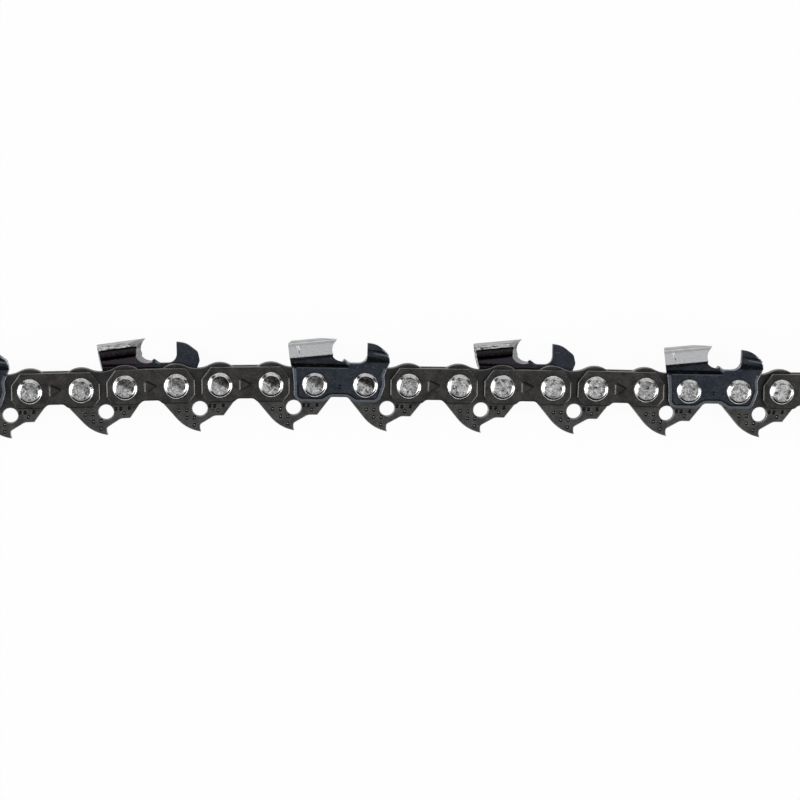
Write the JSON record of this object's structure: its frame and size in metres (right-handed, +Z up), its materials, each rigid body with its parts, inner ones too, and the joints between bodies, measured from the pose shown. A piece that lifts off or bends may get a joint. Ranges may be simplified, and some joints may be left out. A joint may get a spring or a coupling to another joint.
{
  "type": "chainsaw chain",
  "caption": "Run of hinged saw chain lying on its side: hooked drive links between tie straps and filed cutters with depth gauges, on riveted pins.",
  "frame": {"origin": "centre of the bottom of the bounding box, on the surface that the chain lies on", "axes": "+X along the run in its cutting direction, +Y to the side that the cutters point to, +Z up along the rivets"},
  "size_m": [0.1802, 0.0184, 0.0066],
  "materials": {
    "dark_steel": "oil-blackened rolled steel, lightly worn on its edges",
    "cutter_steel": "blued sheet steel, hard chrome plated on the outside of the tooth",
    "rivet_steel": "bright steel, spun heads"
  },
  "bodies": {
    "drive_01": {"drive_link_01": "dark_steel"},
    "pair_01": {"near_cutter_01": "cutter_steel", "far_tie_strap_01": "dark_steel", "rivet_01": "rivet_steel", "rivet_02": "rivet_steel"},
    "drive_02": {"drive_link_02": "dark_steel"},
    "pair_02": {"near_tie_strap_02": "dark_steel", "far_tie_strap_02": "dark_steel", "rivet_03": "rivet_steel", "rivet_04": "rivet_steel"},
    "drive_03": {"drive_link_03": "dark_steel"},
    "pair_03": {"near_tie_strap_03": "dark_steel", "far_cutter_03": "cutter_steel", "rivet_05": "rivet_steel", "rivet_06": "rivet_steel"},
    "drive_04": {"drive_link_04": "dark_steel"},
    "pair_04": {"near_tie_strap_04": "dark_steel", "far_tie_strap_04": "dark_steel", "rivet_07": "rivet_steel", "rivet_08": "rivet_steel"},
    "drive_05": {"drive_link_05": "dark_steel"},
    "pair_05": {"near_cutter_05": "cutter_steel", "far_tie_strap_05": "dark_steel", "rivet_09": "rivet_steel", "rivet_10": "rivet_steel"},
    "drive_06": {"drive_link_06": "dark_steel"},
    "pair_06": {"near_tie_strap_06": "dark_steel", "far_tie_strap_06": "dark_steel", "rivet_11": "rivet_steel", "rivet_12": "rivet_steel"},
    "drive_07": {"drive_link_07": "dark_steel"},
    "pair_07": {"near_tie_strap_07": "dark_steel", "far_cutter_07": "cutter_steel", "rivet_13": "rivet_steel", "rivet_14": "rivet_steel"},
    "drive_08": {"drive_link_08": "dark_steel"},
    "pair_08": {"near_tie_strap_08": "dark_steel", "far_tie_strap_08": "dark_steel", "rivet_15": "rivet_steel", "rivet_16": "rivet_steel"},
    "drive_09": {"drive_link_09": "dark_steel"},
    "pair_09": {"near_cutter_09": "cutter_steel", "far_tie_strap_09": "dark_steel", "rivet_17": "rivet_steel", "rivet_18": "rivet_steel"},
    "drive_10": {"drive_link_10": "dark_steel"},
    "pair_10": {"near_tie_strap_10": "dark_steel", "far_tie_strap_10": "dark_steel", "rivet_19": "rivet_steel", "rivet_20": "rivet_steel"},
    "drive_11": {"drive_link_11": "dark_steel"}
  },
  "joints": [
    {"name": "rivet_11_hinge", "type": "hinge", "parent": "drive_06", "child": "pair_06", "pos_m": [0.0038, 0.00078, 0.0033], "axis": [0, 0, 1], "range_deg": [-26.3, 14.4]},
    {"name": "rivet_12_hinge", "type": "hinge", "parent": "pair_06", "child": "drive_07", "pos_m": [0.01271, 0.00059, 0.0033], "axis": [0, 0, 1], "range_deg": [-25.58, 15.12]},
    {"name": "rivet_13_hinge", "type": "hinge", "parent": "drive_07", "child": "pair_07", "pos_m": [0.02031, 0.00042, 0.0033], "axis": [0, 0, 1], "range_deg": [-25.62, 15.08]},
    {"name": "rivet_14_hinge", "type": "hinge", "parent": "pair_07", "child": "drive_08", "pos_m": [0.02921, 0.00021, 0.0033], "axis": [0, 0, 1], "range_deg": [-25.85, 14.85]},
    {"name": "rivet_15_hinge", "type": "hinge", "parent": "drive_08", "child": "pair_08", "pos_m": [0.03681, 0.00005, 0.0033], "axis": [0, 0, 1], "range_deg": [-25.1, 15.6]},
    {"name": "rivet_16_hinge", "type": "hinge", "parent": "pair_08", "child": "drive_09", "pos_m": [0.04572, -0.00023, 0.0033], "axis": [0, 0, 1], "range_deg": [-25.74, 14.96]},
    {"name": "rivet_17_hinge", "type": "hinge", "parent": "drive_09", "child": "pair_09", "pos_m": [0.05331, -0.00047, 0.0033], "axis": [0, 0, 1], "range_deg": [-26.11, 14.59]},
    {"name": "rivet_18_hinge", "type": "hinge", "parent": "pair_09", "child": "drive_10", "pos_m": [0.06222, -0.00068, 0.0033], "axis": [0, 0, 1], "range_deg": [-26.41, 14.29]},
    {"name": "rivet_19_hinge", "type": "hinge", "parent": "drive_10", "child": "pair_10", "pos_m": [0.06982, -0.00077, 0.0033], "axis": [0, 0, 1], "range_deg": [-25.46, 15.24]},
    {"name": "rivet_20_hinge", "type": "hinge", "parent": "pair_10", "child": "drive_11", "pos_m": [0.07873, -0.00091, 0.0033], "axis": [0, 0, 1], "range_deg": [-26, 14.7]},
    {"name": "rivet_10_hinge", "type": "hinge", "parent": "drive_06", "child": "pair_05", "pos_m": [-0.0038, 0.00101, 0.0033], "axis": [0, 0, 1], "range_deg": [-15.5, 25.2]},
    {"name": "rivet_09_hinge", "type": "hinge", "parent": "pair_05", "child": "drive_05", "pos_m": [-0.0127, 0.00121, 0.0033], "axis": [0, 0, 1], "range_deg": [-16.03, 24.67]},
    {"name": "rivet_08_hinge", "type": "hinge", "parent": "drive_05", "child": "pair_04", "pos_m": [-0.0203, 0.00124, 0.0033], "axis": [0, 0, 1], "range_deg": [-15.39, 25.31]},
    {"name": "rivet_07_hinge", "type": "hinge", "parent": "pair_04", "child": "drive_04", "pos_m": [-0.02921, 0.00122, 0.0033], "axis": [0, 0, 1], "range_deg": [-16.07, 24.63]},
    {"name": "rivet_06_hinge", "type": "hinge", "parent": "drive_04", "child": "pair_03", "pos_m": [-0.03681, 0.00105, 0.0033], "axis": [0, 0, 1], "range_deg": [-14.95, 25.75]},
    {"name": "rivet_05_hinge", "type": "hinge", "parent": "pair_03", "child": "drive_03", "pos_m": [-0.04572, 0.00087, 0.0033], "axis": [0, 0, 1], "range_deg": [-17.11, 23.59]},
    {"name": "rivet_04_hinge", "type": "hinge", "parent": "drive_03", "child": "pair_02", "pos_m": [-0.05331, 0.00044, 0.0033], "axis": [0, 0, 1], "range_deg": [-12.58, 28.12]},
    {"name": "rivet_03_hinge", "type": "hinge", "parent": "pair_02", "child": "drive_02", "pos_m": [-0.06222, 0.0003, 0.0033], "axis": [0, 0, 1], "range_deg": [-15.74, 24.96]},
    {"name": "rivet_02_hinge", "type": "hinge", "parent": "drive_02", "child": "pair_01", "pos_m": [-0.06981, 0.00009, 0.0033], "axis": [0, 0, 1], "range_deg": [-14.4, 26.3]},
    {"name": "rivet_01_hinge", "type": "hinge", "parent": "pair_01", "child": "drive_01", "pos_m": [-0.07872, -0.00006, 0.0033], "axis": [0, 0, 1], "range_deg": [-15, 25.7]}
  ]
}
